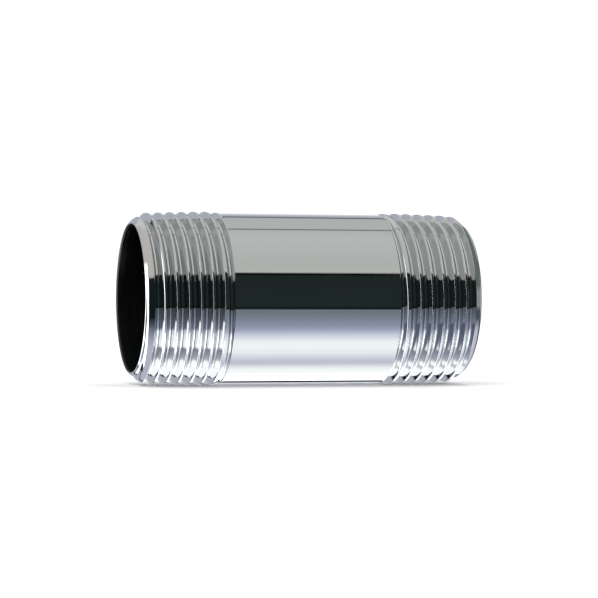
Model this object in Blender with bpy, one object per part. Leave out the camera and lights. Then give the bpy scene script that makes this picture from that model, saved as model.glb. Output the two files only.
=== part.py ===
"""Threaded pipe nipple: one chrome-plated brass tube with an R1 taper thread on each end.

The axis lies along X and the origin is the middle of the tube. The tube is turned from one
profile, and each thread is a helical groove cut into it, as a threading tool would cut it. The
end at -X is the pattern, and the end at +X is the same end turned half round about Y, which
keeps the thread right-handed.
"""

import math

import bmesh
import bpy
from mathutils import Matrix

MM = 0.001

# Thread, R1: 11 turns to the inch, 55 degrees, 1:16 taper on the diameter
THREAD_GAUGE_DIAMETER = 33.249 * MM
THREAD_GAUGE_LENGTH = 10.4 * MM
THREAD_PITCH = 25.4 / 11 * MM
THREAD_ANGLE = math.radians(55)
THREAD_TAPER = 1 / 16
DEPTH_TO_PITCH = 0.640327

# Tube. The barrel is turned down a little below the thread's gauge diameter.
LENGTH = 66.0 * MM
WALL = 2.5 * MM
BARREL_UNDERSIZE = 0.249 * MM

# Threaded end: the blank that the thread is cut on, its shoulder and the tool's run-out
BLANK_LENGTH = 16.0 * MM
BLANK_PROUD = 0.2 * MM
BLANK_SHOULDER = 0.6 * MM
LAST_GROOVE_BEYOND = 0.17 * MM
RUN_OUT_STARTS = math.radians(-80)
RUN_OUT_TURN = math.radians(260)

# Mouth, from the bore outwards: a fine chamfer, a flat land, a lip and the lead-in chamfer
MOUTH_CHAMFER = 0.25 * MM
END_LAND = 0.3 * MM
LIP_LENGTH = 0.5 * MM
LIP_ANGLE = math.radians(50)
LEAD_IN_ANGLE = math.radians(36)

# How finely round shapes are cut into flats, and how far a cutter stands clear of the metal
SEGMENTS = 60
CUTTER_CLEARANCE = 0.3 * MM

# What follows from the sizes above
BARREL_RADIUS = (THREAD_GAUGE_DIAMETER - BARREL_UNDERSIZE) / 2
BORE_RADIUS = BARREL_RADIUS - WALL
BLANK_RADIUS = BARREL_RADIUS + BLANK_PROUD
THREAD_DEPTH = DEPTH_TO_PITCH * THREAD_PITCH
LAST_GROOVE = BLANK_LENGTH + LAST_GROOVE_BEYOND

CHROME = {"Base Color": (0.62, 0.63, 0.65, 1.0), "Metallic": 1.0, "Roughness": 0.08}


def clear_scene():
    for old in list(bpy.data.objects):
        bpy.data.objects.remove(old, do_unlink=True)


def material(name, settings):
    """A Principled BSDF with these socket values."""
    made = bpy.data.materials.new(name)
    made.use_nodes = True
    shader = made.node_tree.nodes["Principled BSDF"]
    for socket, value in settings.items():
        shader.inputs[socket].default_value = value
    return made


def mesh_object(name, bm):
    """An object made from a bmesh, which it frees."""
    bmesh.ops.recalc_face_normals(bm, faces=bm.faces)
    mesh = bpy.data.meshes.new(name)
    bm.to_mesh(mesh)
    bm.free()
    made = bpy.data.objects.new(name, mesh)
    bpy.context.scene.collection.objects.link(made)
    return made


def bridge(bm, first, second):
    """Quads between two closed loops of vertices of the same length."""
    for i, corner in enumerate(first):
        after = (i + 1) % len(first)
        bm.faces.new((corner, first[after], second[after], second[i]))


def taper_radius(distance_in):
    """The radius of the thread's taper this far in from the end of the tube."""
    return THREAD_GAUGE_DIAMETER / 2 + (distance_in - THREAD_GAUGE_LENGTH) * THREAD_TAPER / 2


def crest_radius(distance_in):
    """The radius of the thread's crests: its taper, as far as the blank allows."""
    return min(taper_radius(distance_in), BLANK_RADIUS)


def end_profile():
    """(distance in from the end, radius) from the bore's mouth out to the barrel."""
    mouth = BORE_RADIUS + MOUTH_CHAMFER
    land_outer = mouth + END_LAND
    lip_outer = land_outer + LIP_LENGTH * math.tan(LIP_ANGLE)
    # The lead-in's cone meets the thread's taper where both have the same radius.
    rise = math.tan(LEAD_IN_ANGLE) - THREAD_TAPER / 2
    lead_in_end = LIP_LENGTH + (taper_radius(LIP_LENGTH) - lip_outer) / rise
    blank_over_gauge = 2 * BLANK_RADIUS - THREAD_GAUGE_DIAMETER
    taper_end = min(THREAD_GAUGE_LENGTH + blank_over_gauge / THREAD_TAPER, BLANK_LENGTH)
    return [
        (MOUTH_CHAMFER, BORE_RADIUS),
        (0, mouth),
        (0, land_outer),
        (LIP_LENGTH, lip_outer),
        (lead_in_end, taper_radius(lead_in_end)),
        (taper_end, crest_radius(taper_end)),
        (BLANK_LENGTH, crest_radius(BLANK_LENGTH)),
        (BLANK_LENGTH + BLANK_SHOULDER, BARREL_RADIUS),
    ]


def turned_tube():
    """The tube before its threads are cut: the profile of both ends, turned about X."""
    end = end_profile()
    outline = [(distance_in - LENGTH / 2, radius) for distance_in, radius in end]
    outline += [(LENGTH / 2 - distance_in, radius) for distance_in, radius in reversed(end)]
    bm = bmesh.new()
    rings = []
    for step in range(SEGMENTS):
        turn = 2 * math.pi * step / SEGMENTS
        ring = [bm.verts.new((x, -r * math.cos(turn), r * math.sin(turn))) for x, r in outline]
        rings.append(ring)
    for step, ring in enumerate(rings):
        bridge(bm, ring, rings[(step + 1) % SEGMENTS])
    return mesh_object("nipple_body", bm)


def groove_section(turn):
    """The groove's four corners, (distance in, radius), after this turn from the near side.

    A turn of 0 is where the last groove passes -Y, and the groove moves in as the turn grows.
    It has its full depth up to the run-out, where the tool leaves the metal.
    """
    middle = LAST_GROOVE + THREAD_PITCH * turn / (2 * math.pi)
    lean = math.tan(THREAD_ANGLE / 2)
    root_half = THREAD_PITCH / 4 - THREAD_DEPTH * lean / 2
    crest = crest_radius(middle)
    full_depth_root = taper_radius(middle) - THREAD_DEPTH
    clear_of_metal = crest + CUTTER_CLEARANCE / 2
    leaving = min(max((turn - RUN_OUT_STARTS) / RUN_OUT_TURN, 0), 1)
    root = full_depth_root + leaving * (clear_of_metal - full_depth_root)
    top = crest + CUTTER_CLEARANCE
    top_half = root_half + (top - root) * lean
    return [
        (middle - root_half, root),
        (middle + root_half, root),
        (middle + top_half, top),
        (middle - top_half, top),
    ]


def groove_cutter(name):
    """A solid that fills the helical groove of the end at -X, from outside the metal inwards."""
    step_turn = 2 * math.pi / SEGMENTS
    first = -math.ceil(LAST_GROOVE / THREAD_PITCH * SEGMENTS)
    last = math.ceil((RUN_OUT_STARTS + RUN_OUT_TURN) / step_turn)
    bm = bmesh.new()
    loops = []
    for step in range(first, last + 1):
        turn = step * step_turn
        loop = []
        for distance_in, radius in groove_section(turn):
            across = (-radius * math.cos(turn), -radius * math.sin(turn))
            loop.append(bm.verts.new((distance_in - LENGTH / 2, *across)))
        loops.append(loop)
    for one, following in zip(loops, loops[1:]):
        bridge(bm, one, following)
    bm.faces.new(loops[0])
    bm.faces.new(loops[-1])
    cutter = mesh_object(name, bm)
    cutter.hide_render = True
    cutter.display_type = "WIRE"
    return cutter


def cut(body, cutter):
    modifier = body.modifiers.new(cutter.name, "BOOLEAN")
    modifier.operation = "DIFFERENCE"
    modifier.solver = "EXACT"
    modifier.object = cutter


def nipple_body():
    """The whole nipple, which is one piece of metal."""
    body = turned_tube()
    cut(body, groove_cutter("groove_cutter_left"))
    right = groove_cutter("groove_cutter_right")
    right.matrix_world = Matrix.Rotation(math.pi, 4, "Y")
    cut(body, right)
    body.data.materials.append(material("chrome_plated_brass", CHROME))
    body.data.shade_smooth()
    body.data.set_sharp_from_angle(angle=math.radians(25))
    return body


clear_scene()
nipple_body()
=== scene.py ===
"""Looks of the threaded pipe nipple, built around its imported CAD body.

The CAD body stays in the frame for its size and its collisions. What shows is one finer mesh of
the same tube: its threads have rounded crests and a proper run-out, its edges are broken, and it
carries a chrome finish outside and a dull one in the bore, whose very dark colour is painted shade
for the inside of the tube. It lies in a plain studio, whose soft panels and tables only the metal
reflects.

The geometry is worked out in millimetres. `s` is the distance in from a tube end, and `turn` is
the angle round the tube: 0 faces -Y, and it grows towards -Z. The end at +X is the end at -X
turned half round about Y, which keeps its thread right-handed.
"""

import math

import bpy
import numpy as np
from mathutils import Matrix, Vector


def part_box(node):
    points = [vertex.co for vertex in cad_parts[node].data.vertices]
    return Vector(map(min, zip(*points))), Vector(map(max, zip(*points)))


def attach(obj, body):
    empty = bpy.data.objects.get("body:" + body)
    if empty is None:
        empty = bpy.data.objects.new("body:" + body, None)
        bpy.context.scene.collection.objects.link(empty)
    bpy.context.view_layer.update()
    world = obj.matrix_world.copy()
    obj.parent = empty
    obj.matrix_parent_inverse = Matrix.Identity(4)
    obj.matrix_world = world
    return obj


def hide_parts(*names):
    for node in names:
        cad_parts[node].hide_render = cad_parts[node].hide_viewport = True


MM = 0.001

# Thread, R1: 11 turns to the inch, 55 degrees, 1:16 taper on the diameter
GAUGE_DIAMETER = 33.249
GAUGE_LENGTH = 10.4
PITCH = 25.4 / 11
THREAD_DEPTH = 0.640327 * PITCH
TAPER = 1 / 32  # on the radius
LEAN = math.tan(math.radians(55 / 2))
ROOT_HALF = PITCH / 4 - THREAD_DEPTH * LEAN / 2

# Tube
LENGTH = 66.0
BARREL_RADIUS = 16.5
BORE_RADIUS = 14.0
BLANK_RADIUS = 16.7
BLANK_LENGTH = 16.0
SHOULDER = 0.6
LAST_GROOVE = 16.17  # where the middle of the last full groove faces the viewer
GROOVES_BACK = 8  # turns of the groove from there to past the end face
RUN_OUT_STARTS = math.radians(-80)
RUN_OUT_TURN = math.radians(260)
RUN_OUT_CLEAR = 0.15  # how far over the crests the tool ends

# Mouth, from the bore outwards: a fine chamfer, a flat land, a lip and the lead-in chamfer
MOUTH_CHAMFER = 0.25
END_LAND = 0.3
LIP_LENGTH = 0.5
LIP_SLOPE = math.tan(math.radians(50))
LEAD_IN_SLOPE = math.tan(math.radians(36))
LAND_OUTER = BORE_RADIUS + MOUTH_CHAMFER + END_LAND
BORE_START = MOUTH_CHAMFER * 3

# How far edges and corners are rounded
CREST_ROUNDING = 0.18
ROOT_ROUNDING = 0.04
TURNED_ROUNDING = 0.04
EDGE_RADIUS = 0.05

# Mesh
COLUMNS = 216
RING_STEP = 0.05
CREST_ROWS = (-0.09, -0.03, 0.03, 0.09)  # where rows follow a corner of the thread's crest
ROOT_ROWS = (-0.07, -0.02, 0.02, 0.07)  # and of its root
FLANK_ROWS = (0.35, 0.65)  # shares of the way down a flank
WIDEST_GROOVE = PITCH * 0.47
RINGS_START = EDGE_RADIUS * 3
RINGS_END = 2.4
HELIX_END = 18.6
BARREL_RINGS = 7
BORE_RINGS = 17
NORMAL_STEP = 0.004
MERGE_DIGITS = 4

# Camera
SENSOR = 36.0
LENS = 157.39
CAMERA_PLACE = (-131.64, -491.83, 2.32)
CAMERA_TURN = math.radians(15.03)
CAMERA_DOWN = math.radians(0.275)
CAMERA_ROLL = math.radians(0.19)

# Floor and lamp, in metres and watts
FLOOR_RADIUS = 3.0
FLOOR_SIDES = 96
LAMP_PLACE = (-0.1, -0.1, 1.2)
LAMP_SIZE = 1.4
LAMP_POWER = 5.0
SURROUND_STRENGTH = 1.12


# ---------------------------------------------------------------- shape


def taper_radius(s):
    return GAUGE_DIAMETER / 2 + (s - GAUGE_LENGTH) * TAPER


def crest_radius(s):
    return np.minimum(taper_radius(s), BLANK_RADIUS)


def soft_min(a, b, width):
    """The smaller of a and b, rounded where they come within width of each other."""
    near = np.maximum(width - np.abs(a - b), 0) / width
    return np.minimum(a, b) - near * near * width / 4


def soft_ramp(x, width):
    """0 below x = 0 and x above it, rounded over about width."""
    return (x + np.sqrt(x * x + width * width)) / 2


def groove_wall(across):
    """How far above its root the groove's wall is, this far across from its middle."""
    return soft_ramp(np.abs(across) - ROOT_HALF, ROOT_ROUNDING) / LEAN


def blank_envelope(s):
    """The radius of the turned blank before its thread is cut, from the end face to the barrel."""
    lip = LAND_OUTER + s * LIP_SLOPE
    lead_in = LAND_OUTER + LIP_LENGTH * LIP_SLOPE + (s - LIP_LENGTH) * LEAD_IN_SLOPE
    radius = soft_min(lip, lead_in, TURNED_ROUNDING)
    radius = soft_min(radius, taper_radius(s), TURNED_ROUNDING)
    proud = BLANK_RADIUS - BARREL_RADIUS
    fall = proud * (s - BLANK_LENGTH) / SHOULDER
    fallen = soft_ramp(fall, TURNED_ROUNDING) - soft_ramp(fall - proud, TURNED_ROUNDING)
    return np.minimum(soft_min(radius, BLANK_RADIUS, TURNED_ROUNDING), BLANK_RADIUS - fallen)


def groove_root(turn):
    """(where along the tube, radius) of the groove's root after this turn from the near side."""
    middle = LAST_GROOVE + PITCH * turn / (2 * math.pi)
    full_depth = taper_radius(middle) - THREAD_DEPTH
    clear = crest_radius(middle) + RUN_OUT_CLEAR
    leaving = np.clip((turn - RUN_OUT_STARTS) / RUN_OUT_TURN, 0, 1)
    return middle, full_depth + leaving * (clear - full_depth)


def outer_radius(s, turn):
    """The finished outside of the threaded end, for turns from 0 to a full circle."""
    radius = blank_envelope(s)
    for groove in range(-GROOVES_BACK - 1, 1):
        middle, root = groove_root(turn + 2 * math.pi * groove)
        wall = root + groove_wall(s - middle)
        radius = np.where(
            wall < radius + CREST_ROUNDING, soft_min(radius, wall, CREST_ROUNDING), radius
        )
    return radius


def groove_corner(middle, root, side):
    """How far from its middle the groove's wall meets the blank, towards side -1 or 1."""
    half = np.full_like(middle, PITCH / 3)
    for _ in range(6):  # the blank leans, so this closes in on the corner
        top = blank_envelope(np.clip(middle + side * half, 0, None))
        half = ROOT_HALF + np.maximum(top - root, 0) * LEAN
    return np.clip(half, ROOT_HALF, WIDEST_GROOVE)


def helix_rows(turn):
    """Where the rows of the mesh that follow the thread cross this turn, from the end inwards."""
    rows = []
    for groove in range(-GROOVES_BACK, 2):
        middle, root = groove_root(turn + 2 * math.pi * groove)
        before = groove_corner(middle, root, -1)
        after = groove_corner(middle, root, 1)
        rows += [middle - PITCH / 2]
        rows += [middle - before + step for step in CREST_ROWS]
        rows += [middle - before + (before - ROOT_HALF) * share for share in FLANK_ROWS]
        rows += [middle - ROOT_HALF + step for step in ROOT_ROWS]
        rows += [middle]
        rows += [middle + ROOT_HALF + step for step in ROOT_ROWS]
        rows += [middle + after - (after - ROOT_HALF) * share for share in FLANK_ROWS[::-1]]
        rows += [middle + after + step for step in CREST_ROWS]
    rows = np.maximum.accumulate(np.concatenate(rows), axis=0)
    return np.clip(rows, RINGS_END, HELIX_END)


def place(s, turn, radius):
    return np.stack(
        np.broadcast_arrays(s - LENGTH / 2, -radius * np.cos(turn), -radius * np.sin(turn)), -1
    )


def outer_grid(s, turn):
    """Points and normals of the threaded outside at these distances and turns."""
    radius = outer_radius(s, turn)
    step = NORMAL_STEP
    along = (outer_radius(s + step, turn) - outer_radius(s - step, turn)) / (2 * step)
    bend = step / BARREL_RADIUS
    across = (outer_radius(s, turn + bend) - outer_radius(s, turn - bend)) / (2 * bend * radius)
    cos, sin = np.cos(turn), np.sin(turn)
    normals = np.stack(
        np.broadcast_arrays(-along, -cos - across * sin, -sin + across * cos), -1
    )
    normals /= np.linalg.norm(normals, axis=-1, keepdims=True)
    return place(s, turn, radius), normals


def turned_grid(profile, turn):
    """Points and normals of a turned surface. The profile is rows of s, radius and the two
    parts of its normal, along the tube and away from its axis."""
    s, radius, lean, out = (np.array(column)[:, None] for column in zip(*profile))
    normals = np.stack(
        np.broadcast_arrays(lean, -out * np.cos(turn), -out * np.sin(turn)), -1
    )
    return place(s, turn, radius), normals


def rounded_profile(corners, radius, steps=4):
    """A profile through these corners, each inner one rounded, as turned_grid takes it."""
    corners = [Vector(corner) for corner in corners]
    rows = []

    def add(point, tangent):
        rows.append((point.x, point.y, -tangent.y, tangent.x))

    tangents = [(b - a).normalized() for a, b in zip(corners, corners[1:])]
    add(corners[0], tangents[0])
    for corner, t1, t2 in zip(corners[1:], tangents, tangents[1:]):
        half = t1.angle(t2) / 2
        reach = radius * math.tan(half)
        start, end = corner - t1 * reach, corner + t2 * reach
        for step in range(steps + 1):
            share = step / steps
            # A quadratic through the corner follows a small arc closely enough.
            point = start * (1 - share) ** 2 + corner * 2 * share * (1 - share) + end * share**2
            add(point, (t1 * (1 - share) + t2 * share).normalized())
    add(corners[-1], tangents[-1])
    return rows


class Shell:
    """Gathers grids of points into one mesh, and merges the points that they share."""

    def __init__(self):
        self.points, self.normals, self.faces, self.finishes = [], [], [], []
        self.count = 0

    def add(self, points, normals, finish):
        rows, columns = points.shape[:2]
        index = self.count + np.arange(rows * columns).reshape(rows, columns)
        quads = np.stack(
            [index[:-1, :-1], index[:-1, 1:], index[1:, 1:], index[1:, :-1]], -1
        ).reshape(-1, 4)
        self.points.append(points.reshape(-1, 3))
        self.normals.append(normals.reshape(-1, 3))
        self.faces.append(quads)
        self.finishes += [finish] * len(quads)
        self.count += rows * columns

    def mesh(self, name):
        points = np.concatenate(self.points)
        normals = np.concatenate(self.normals)
        _, first, same = np.unique(
            np.round(points, MERGE_DIGITS), axis=0, return_index=True, return_inverse=True
        )
        quads = same.reshape(-1)[np.concatenate(self.faces)].tolist()
        faces, finishes = [], []
        for quad, finish in zip(quads, self.finishes):
            corners = [c for i, c in enumerate(quad) if c != quad[i - 1]]
            if len(set(corners)) > 2:
                faces.append(corners)
                finishes.append(finish)
        made = bpy.data.meshes.new(name)
        made.from_pydata((points[first] * MM).tolist(), [], faces)
        made.polygons.foreach_set("material_index", finishes)
        made.polygons.foreach_set("use_smooth", [True] * len(faces))
        made.validate()
        made.normals_split_custom_set_from_vertices(normals[first].tolist())
        return made


def threaded_end(turn):
    """The grids of the half of the tube at -X, each with its finish: 0 is chrome, 1 is the bore's
    finish, darkened with painted shade.
    """
    mouth = BORE_RADIUS + MOUTH_CHAMFER
    plating_starts = (0, mouth + EDGE_RADIUS)
    lip_starts = (RINGS_START, LAND_OUTER + RINGS_START * LIP_SLOPE)
    along_bore = np.linspace(LENGTH / 2, BORE_START, BORE_RINGS)
    bore = turned_grid([(s, BORE_RADIUS, 0, -1) for s in along_bore], turn)
    chamfer = [(BORE_START, BORE_RADIUS), (MOUTH_CHAMFER, BORE_RADIUS), (0, mouth), plating_starts]
    chamfer = turned_grid(rounded_profile(chamfer, EDGE_RADIUS), turn)
    face = rounded_profile([plating_starts, (0, LAND_OUTER), lip_starts], EDGE_RADIUS)
    face = turned_grid(face, turn)
    rings = outer_grid(np.arange(RINGS_START, RINGS_END + 1e-6, RING_STEP)[:, None], turn)
    helix = outer_grid(helix_rows(turn), turn)
    along_barrel = np.linspace(HELIX_END, LENGTH / 2, BARREL_RINGS)
    barrel = turned_grid([(s, BARREL_RADIUS, 0, 1) for s in along_barrel], turn)
    # The face and the barrel end on the thread's own rows, so that nothing gapes.
    for part in range(2):
        face[part][-1] = rings[part][0]
        barrel[part][0] = helix[part][-1]
    # The mouth chamfer takes the bore's finish, so it is darkened with painted shade too.
    inside, outside = (bore, chamfer), (face, rings, helix, barrel)
    return [(*grid, 1) for grid in inside] + [(*grid, 0) for grid in outside]


def nipple_mesh():
    turn = np.linspace(0, 2 * math.pi, COLUMNS + 1)[None, :]
    half_round = np.array([-1, 1, -1])
    shell = Shell()
    for points, normals, finish in threaded_end(turn):
        shell.add(points, normals, finish)
        shell.add(points * half_round, normals * half_round, finish)
    return shell.mesh("nipple")


# ---------------------------------------------------------------- nodes


class Nodes:
    """A node tree, with short ways to add what the finishes and the studio use."""

    def __init__(self, tree):
        self.tree = tree
        tree.nodes.clear()

    def add(self, kind, inputs=None, **settings):
        made = self.tree.nodes.new(kind)
        for name, value in settings.items():
            setattr(made, name, value)
        for socket, value in (inputs or {}).items():
            self.feed(made.inputs[socket], value)
        return made

    def feed(self, socket, value):
        if isinstance(value, bpy.types.NodeSocket):
            self.tree.links.new(value, socket)
        else:
            socket.default_value = value

    def math(self, operation, *values):
        made = self.add("ShaderNodeMath", operation=operation)
        for socket, value in zip(made.inputs, values):
            self.feed(socket, value)
        return made.outputs[0]

    def step(self, value, low, high):
        """0 below low and 1 above high, smooth between. low may be above high."""
        made = self.add("ShaderNodeMapRange", interpolation_type="SMOOTHSTEP")
        for socket, given in zip(("Value", "From Min", "From Max"), (value, low, high)):
            self.feed(made.inputs[socket], given)
        return made.outputs[0]

    def mix(self, share, first, second, blend="MIX"):
        made = self.add("ShaderNodeMix", data_type="RGBA", blend_type=blend)
        self.feed(made.inputs["Factor"], share)
        self.feed(made.inputs[6], first)
        self.feed(made.inputs[7], second)
        return made.outputs[2]

    def ramp(self, share, stops):
        """A colour for each share from 0 to 1. Each stop is (share, colour)."""
        made = self.add("ShaderNodeValToRGB")
        self.feed(made.inputs[0], share)
        elements = made.color_ramp.elements
        while len(elements) < len(stops):
            elements.new(1)
        for element, (at, colour) in zip(elements, stops):
            element.position = at
            element.color = colour
        return made.outputs[0]

    def turning_marks(self, scale, detail):
        """Fine lines that run round the tube: they vary along X and hardly around it."""
        place_in = self.add("ShaderNodeTexCoord").outputs["Object"]
        stretched = self.add("ShaderNodeMapping", {"Vector": place_in, "Scale": scale}).outputs[0]
        return self.add(
            "ShaderNodeTexNoise", {"Vector": stretched, "Scale": 1.0, "Detail": detail}
        ).outputs[0]


def new_material(name):
    made = bpy.data.materials.new(name)
    made.use_nodes = True
    return made, Nodes(made.node_tree)


def shade(red, green=None, blue=None, gain=1.0):
    """A linear colour from display values of 0 to 255."""

    def linear(value):
        value /= 255
        return gain * (value / 12.92 if value <= 0.04045 else ((value + 0.055) / 1.055) ** 2.4)

    green, blue = (red, red) if green is None else (green, blue)
    return (linear(red), linear(green), linear(blue), 1.0)


# ---------------------------------------------------------------- finishes

# The marks' scales are in lines to the metre, and their depths in metres.
CHROME_COLOUR = (0.55, 0.56, 0.565, 1.0)
CHROME_ROUGHNESS = 0.02
POLISH_SCALE = (9000.0, 40.0, 40.0)
POLISH_ROUGHNESS = 0.03
POLISH_DEPTH = 0.00002
SMEAR_SCALE = 90.0
SMEAR_ROUGHNESS = 0.03
SMEARED = (0.45, 0.75)  # the noise where a smear starts and where it is full
# The bore's colours are painted shade: far darker than any metal, they stand for the shade inside
# the tube and on its mouth chamfer.
BORE_PAINTED_SHADE_DARK = (0.040, 0.045, 0.044, 1.0)
BORE_PAINTED_SHADE_PALE = (0.075, 0.081, 0.077, 1.0)
BORE_ROUGHNESS = 0.3
BORE_MARK_SCALE = (2500.0, 60.0, 60.0)
BORE_MARK_ROUGHNESS = 0.2
BORE_MARK_DEPTH = 0.00003


def chrome():
    """Polished plating: faint turned lines, and smears that dull it a little."""
    made, n = new_material("chrome_plated_brass")
    polish = n.turning_marks(POLISH_SCALE, detail=3.0)
    place_in = n.add("ShaderNodeTexCoord").outputs["Object"]
    smears = n.add("ShaderNodeTexNoise", {"Vector": place_in, "Scale": SMEAR_SCALE, "Detail": 5.0})
    smeared = n.step(smears.outputs[0], *SMEARED)
    rough = n.math("MULTIPLY_ADD", polish, POLISH_ROUGHNESS, CHROME_ROUGHNESS)
    rough = n.math("MULTIPLY_ADD", smeared, SMEAR_ROUGHNESS, rough)
    bump = n.add("ShaderNodeBump", {"Strength": 0.05, "Distance": POLISH_DEPTH, "Height": polish})
    shader = n.add(
        "ShaderNodeBsdfPrincipled",
        {
            "Base Color": CHROME_COLOUR,
            "Metallic": 1.0,
            "Roughness": rough,
            "Specular Tint": (0.8, 0.8, 0.8, 1.0),
            "Normal": bump.outputs[0],
        },
    )
    n.add("ShaderNodeOutputMaterial", {"Surface": shader.outputs[0]})
    return made


def dull_bore_with_painted_shade():
    """Dull metal with the marks of turning, darker and paler. Its colour is painted shade: far
    darker than chrome or brass, it stands for the shade inside the tube.
    """
    made, n = new_material("bore_with_painted_shade")
    marks = n.turning_marks(BORE_MARK_SCALE, detail=4.0)
    colour = n.ramp(marks, [(0.3, BORE_PAINTED_SHADE_DARK), (0.7, BORE_PAINTED_SHADE_PALE)])
    rough = n.math("MULTIPLY_ADD", marks, BORE_MARK_ROUGHNESS, BORE_ROUGHNESS)
    bump = n.add("ShaderNodeBump", {"Strength": 0.3, "Distance": BORE_MARK_DEPTH, "Height": marks})
    shader = n.add(
        "ShaderNodeBsdfPrincipled",
        {
            "Base Color": colour,
            "Metallic": 1.0,
            "Roughness": rough,
            "Specular Tint": (0.35, 0.35, 0.35, 1.0),
            "Normal": bump.outputs[0],
        },
    )
    n.add("ShaderNodeOutputMaterial", {"Surface": shader.outputs[0]})
    return made


# ---------------------------------------------------------------- studio

# A direction in the studio is told by x, to the right, by y, away from the viewer, and by angles in
# degrees. `over` goes round the tube: 0 is level in front and 90 is overhead. `height` is above
# level. `round_left` goes round the upright, from the front to the left. studio_measures has the
# others. Bands are (from angle, to angle, display colour at each end).

# Panels with edges parallel to the tube, by `over`
PANELS = [
    (-180, -116, (250, 251, 252), (250, 251, 252)),
    (-109, -103, (238, 241, 240), (216, 216, 223)),
    (-98, -92, (190, 192, 205), (194, 197, 209)),
    (-85, -79, (212, 217, 223), (230, 233, 236)),
    (-68, -60, (240, 245, 244), (235, 239, 242)),
    (-49, -43, (194, 198, 212), (159, 164, 184)),
    (-37, -25, (138, 145, 164), (116, 124, 137)),
    (-17, -14.8, (105, 114, 121), (116, 125, 129)),
    (-14.0, -12.2, (8, 13, 15), (12, 18, 20)),
    (-10.8, 31.5, (31, 40, 40), (28, 36, 35)),
    (32.3, 34.4, (2, 4, 3), (2, 4, 3)),
    (35.4, 41, (180, 181, 177), (174, 176, 171)),
    (60, 89, (175, 178, 175), (182, 183, 181)),
    (104, 180, (176, 177, 176), (173, 177, 175)),
]
# The side where the tube's near end looks, by `height`: a dark opening between wall and table
LEFT_WALL = [
    (-90, -48, (186, 188, 200), (176, 178, 194)),
    (-40, -28, (150, 152, 168), (75, 82, 92)),
    (-20, 20, (16, 24, 25), (18, 27, 26)),
    (22, 90, (178, 174, 170), (184, 182, 178)),
]
# The side where the other end looks, behind the tube, by `height`
RIGHT_WALL = [
    (-90, -20, (200, 200, 212), (186, 188, 200)),
    (-13, -8, (70, 76, 86), (70, 76, 82)),
    (-4, 4, (150, 156, 156), (150, 156, 156)),
    (9, 90, (92, 100, 96), (110, 118, 114)),
]
# The table low on the right, by `over`
FAR_TABLE = [
    (-180, -112, (255, 255, 255), (255, 255, 255)),
    (-104, -95, (206, 208, 222), (176, 178, 200)),
    (-84, -46, (128, 137, 160), (100, 110, 128)),
]

SEAM_ANGLE = 107.0
REACH_SLOPE = 0.5
# Each edge of the backdrop lies in the plane through the tube with this normal.
BACKDROP_TOP = (-0.300, -0.515, 0.803)
BACKDROP_FOOT = (-0.041, -0.411, -0.911)
FOOT_NARROWS = 0.05
# The window reaches further round below level, and is taller behind the tube than beside it.
WINDOW_FURTHER_BELOW = 26.0
WINDOW_HIGHER_BEHIND = 8.0
WINDOW_LOWER_BEHIND = 22.0

# Areas of the studio. An edge is (measure, where it starts, where it is full), smooth between the
# two. A tuple of areas is where all of them are, and a list is where any of them is.
SEAM = (("from_seam", 1.7, 0.9), ("x", 0.36, 0.32), ("x", -0.30, -0.20))
STRIP = (("x", 0.20, 0.16), ("over", -44, -50), ("over", -80, -74))
FLOOD = ([("x", 0.20, 0.16), ("x", 0.33, 0.37), ("over", -121, -127)], ("over", -106, -113))
OVERHEAD = ([("x", 0.185, 0.16), ("x", 0.335, 0.35)], ("x", 0.48, 0.42), ("over", 34, 36))
FAR = (("x", 0.39, 0.43), ("over", -40, -46), ("over", -112, -106))
FAR_LIT = (("reach", 0.54, 0.57), ("over", -92, -86))
NEAR_LEVEL = ("from_level", 38, 33)
FRONT_RIGHT = (("x", 0.78, 0.84), NEAR_LEVEL)
BACK_RIGHT = (("x", 0.44, 0.54), ("y", -0.06, 0.06), NEAR_LEVEL)
LEFT = ("x", -0.36, -0.46)
BACK_LEFT = (("x", -0.06, -0.12), ("y", 0.12, 0.22), ("height", 2, -2))
GAP = (
    [("x", -0.46, -0.40), (("x", -0.64, -0.58), ("y", -0.24, -0.32))],
    ("x", -0.06, -0.12),
    ("y", 0.25, 0.15),
)
BEHIND = (("y", 0.0, 0.1), ("x", 0.75, 0.65))
BACKDROP = (BEHIND, ("past_top", 0.0, -0.04), ("past_foot", 0.0, -0.04))
BACKDROP_MIDDLE = (("inside", 0.05, 0.45), ("x", 0.16, 0.20), ("x", 0.37, 0.34))
TOP_EDGE = (BEHIND, ("x", 0.10, 0.18), ("from_top", 0.055, 0.025))
FOOT_EDGE = (BEHIND, ("from_foot", 0.105, 0.065))
PATCH = (
    ("y", 0.10, 0.06),
    ("y", -0.24, -0.16),
    ("height", -12, -18),
    ("height", -39, -35),
    ("x", -0.50, -0.60),
)
WINDOW = (
    ("round_left", 82, 86),
    ("round_below", 120, 112),
    ("window_top", 18, 12),
    ("window_foot", -18, -12),
)

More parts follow.
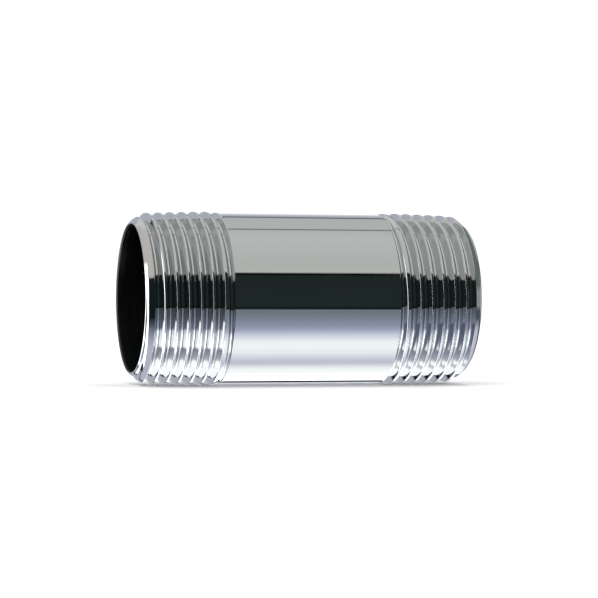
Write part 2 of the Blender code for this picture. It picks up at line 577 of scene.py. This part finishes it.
# What is laid over the panels, in order: each area and its look. A look is a colour, a gain on what
# is there, (measure, bands), or a list of a look and what is laid over it.
LAYERS = [
    # Between two ceiling panels
    (SEAM, shade(112, 114, 112)),
    # Stronger light on the table in front and further back, and on the panels beside the barrel's
    (STRIP, 3.3),
    (FLOOD, 1.9),
    (OVERHEAD, 1.25),
    # The table low on the right is dark, up to a lit part beyond it.
    (FAR, [("over", FAR_TABLE), (FAR_LIT, shade(255, gain=1.9))]),
    # The wall on the right, in front of the tube
    (FRONT_RIGHT, shade(40, 48, 48)),
    # Between the panels and the wall on the left
    (GAP, shade(40, 46, 54)),
    # The table behind, to the left
    (BACK_LEFT, shade(178, 178, 194)),
    (LEFT, ("height", LEFT_WALL)),
    # The backdrop, with a dark edge along its top and its foot
    (BACKDROP, [shade(168, 171, 180), (BACKDROP_MIDDLE, shade(232, 234, 237))]),
    (TOP_EDGE, shade(104, 108, 114)),
    (FOOT_EDGE, shade(8, 14, 26)),
    # The wall on the right, behind the tube
    (BACK_RIGHT, ("height", RIGHT_WALL)),
    # A window on the left, and a dark patch beside it, low down
    (PATCH, shade(14, 18, 28)),
    (WINDOW, shade(255, gain=2.6)),
]


def studio_measures(n):
    """What the studio's areas are told by, worked out from the direction."""
    direction = n.add("ShaderNodeTexCoord").outputs["Generated"]
    split = n.add("ShaderNodeSeparateXYZ", {"Vector": direction}).outputs
    x, y, z = split["X"], split["Y"], split["Z"]
    to_front, to_left = n.math("MULTIPLY", y, -1.0), n.math("MULTIPLY", x, -1.0)

    def degrees(*angle):
        return n.math("MULTIPLY", n.math(*angle), 180 / math.pi)

    def past(normal):
        made = n.add("ShaderNodeVectorMath", {0: direction, 1: normal}, operation="DOT_PRODUCT")
        return made.outputs["Value"]

    over = degrees("ARCTAN2", z, to_front)
    height = degrees("ARCSINE", z)
    round_left = degrees("ARCTAN2", to_left, to_front)
    past_top, past_foot = past(BACKDROP_TOP), past(BACKDROP_FOOT)
    narrower = n.math("MULTIPLY", n.step(x, 0.1, -0.1), FOOT_NARROWS)
    below_level = n.step(height, 6, -6)
    behind = n.step(round_left, 88, 95)
    return {
        "x": x,
        "y": y,
        "over": over,
        "height": height,
        "round_left": round_left,
        "from_level": n.math("ABSOLUTE", height),
        "from_seam": n.math("ABSOLUTE", n.math("ADD", over, -SEAM_ANGLE)),
        "reach": n.math("MULTIPLY_ADD", y, REACH_SLOPE, x),
        "past_top": past_top,
        "past_foot": past_foot,
        "inside": n.math("MULTIPLY", n.math("MAXIMUM", past_top, past_foot), -1.0),
        "from_top": n.math("ABSOLUTE", past_top),
        "from_foot": n.math("ADD", n.math("ABSOLUTE", past_foot), narrower),
        "round_below": n.math("MULTIPLY_ADD", below_level, -WINDOW_FURTHER_BELOW, round_left),
        "window_top": n.math("MULTIPLY_ADD", behind, -WINDOW_HIGHER_BEHIND, height),
        "window_foot": n.math("MULTIPLY_ADD", behind, WINDOW_LOWER_BEHIND, height),
    }


def studio_colour(n):
    """What the metal sees in each direction."""
    measures = studio_measures(n)

    def share(area):
        """How far a direction is inside the area, from 0 to 1."""
        if isinstance(area[0], str):
            measure, starts, full = area
            return n.step(measures[measure], starts, full)
        joined, *others = [share(part) for part in area]
        for other in others:
            joined = n.math("MAXIMUM" if isinstance(area, list) else "MULTIPLY", joined, other)
        return joined

    def banded(measure, bands):
        circle = 360 if measure == "over" else 180
        stops = []
        for start, end, first, last in bands:
            stops += [(start / circle + 0.5, shade(*first)), (end / circle + 0.5, shade(*last))]
        return n.ramp(n.math("MULTIPLY_ADD", measures[measure], 1 / circle, 0.5), stops)

    def colour(look):
        if isinstance(look, list):
            return laid(colour(look[0]), look[1:])
        return banded(*look) if isinstance(look[0], str) else look

    def laid(under, layers):
        for area, look in layers:
            if isinstance(look, float):
                under = n.mix(share(area), under, (look, look, look, 1.0), blend="MULTIPLY")
            else:
                under = n.mix(share(area), under, colour(look))
        return under

    return laid(banded("over", PANELS), LAYERS)


def studio_world():
    """What surrounds the tube. The metal alone sees the studio: the camera sees a plain pale
    backdrop, and the floor is lit evenly."""
    world = bpy.data.worlds.new("studio")
    world.use_nodes = True
    n = Nodes(world.node_tree)
    rays = n.add("ShaderNodeLightPath").outputs
    reflected = n.add(
        "ShaderNodeBackground", {"Color": studio_colour(n), "Strength": 1 / CHROME_COLOUR[1]}
    ).outputs[0]
    plain = n.add(
        "ShaderNodeBackground", {"Color": (1.0, 1.0, 1.0, 1.0), "Strength": SURROUND_STRENGTH}
    ).outputs[0]
    mixed = n.add("ShaderNodeMixShader", {0: rays["Is Glossy Ray"], 1: plain, 2: reflected})
    n.add("ShaderNodeOutputWorld", {"Surface": mixed.outputs[0]})
    bpy.context.scene.world = world


def studio_floor(height):
    floor = bpy.data.meshes.new("studio_floor")
    turns = [2 * math.pi * side / FLOOR_SIDES for side in range(FLOOR_SIDES)]
    ring = [
        (math.cos(turn) * FLOOR_RADIUS, math.sin(turn) * FLOOR_RADIUS, height) for turn in turns
    ]
    floor.from_pydata(ring, [], [list(range(FLOOR_SIDES))])
    made = bpy.data.objects.new("studio_floor", floor)
    bpy.context.scene.collection.objects.link(made)
    material, n = new_material("studio_floor")
    shader = n.add(
        "ShaderNodeBsdfPrincipled",
        {"Base Color": (0.93, 0.93, 0.935, 1.0), "Roughness": 0.9, "Specular IOR Level": 0.0},
    )
    n.add("ShaderNodeOutputMaterial", {"Surface": shader.outputs[0]})
    floor.materials.append(material)
    made.visible_glossy = False


def overhead_light():
    lamp = bpy.data.lights.new("overhead_light", "AREA")
    lamp.shape = "DISK"
    lamp.size = LAMP_SIZE
    lamp.energy = LAMP_POWER
    made = bpy.data.objects.new("overhead_light", lamp)
    bpy.context.scene.collection.objects.link(made)
    made.location = LAMP_PLACE
    made.rotation_euler = (-Vector(LAMP_PLACE)).to_track_quat("-Z", "Y").to_euler()
    made.visible_glossy = False
    made.visible_camera = False


def camera():
    lens = bpy.data.cameras.new("camera")
    lens.sensor_width = SENSOR
    lens.lens = LENS
    lens.clip_start = 0.01
    made = bpy.data.objects.new("camera", lens)
    bpy.context.scene.collection.objects.link(made)
    forward = Vector(
        (
            math.sin(CAMERA_TURN) * math.cos(CAMERA_DOWN),
            math.cos(CAMERA_TURN) * math.cos(CAMERA_DOWN),
            -math.sin(CAMERA_DOWN),
        )
    )
    right = Vector((math.cos(CAMERA_TURN), -math.sin(CAMERA_TURN), 0))
    up = right.cross(forward)
    roll_right = right * math.cos(CAMERA_ROLL) + up * math.sin(CAMERA_ROLL)
    roll_up = up * math.cos(CAMERA_ROLL) - right * math.sin(CAMERA_ROLL)
    axes = Matrix((roll_right, roll_up, -forward)).transposed()
    made.matrix_world = Matrix.Translation(Vector(CAMERA_PLACE) * MM) @ axes.to_4x4()
    bpy.context.scene.camera = made


# ---------------------------------------------------------------- the scene

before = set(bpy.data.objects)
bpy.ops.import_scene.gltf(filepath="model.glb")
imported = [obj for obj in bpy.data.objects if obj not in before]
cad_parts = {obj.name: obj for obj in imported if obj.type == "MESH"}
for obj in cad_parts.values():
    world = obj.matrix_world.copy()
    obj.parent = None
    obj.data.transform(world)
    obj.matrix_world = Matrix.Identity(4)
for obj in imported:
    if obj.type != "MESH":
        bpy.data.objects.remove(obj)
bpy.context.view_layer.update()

nipple = bpy.data.objects.new("nipple", nipple_mesh())
bpy.context.scene.collection.objects.link(nipple)
nipple.data.materials.append(chrome())
# The second finish, for the bore and the mouth chamfer, is darkened with painted shade.
nipple.data.materials.append(dull_bore_with_painted_shade())
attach(nipple, "root")
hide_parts("nipple_body")

lowest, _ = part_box("nipple_body")
studio_floor(lowest.z)
studio_world()
overhead_light()
camera()
bpy.context.scene.view_settings.view_transform = "Standard"
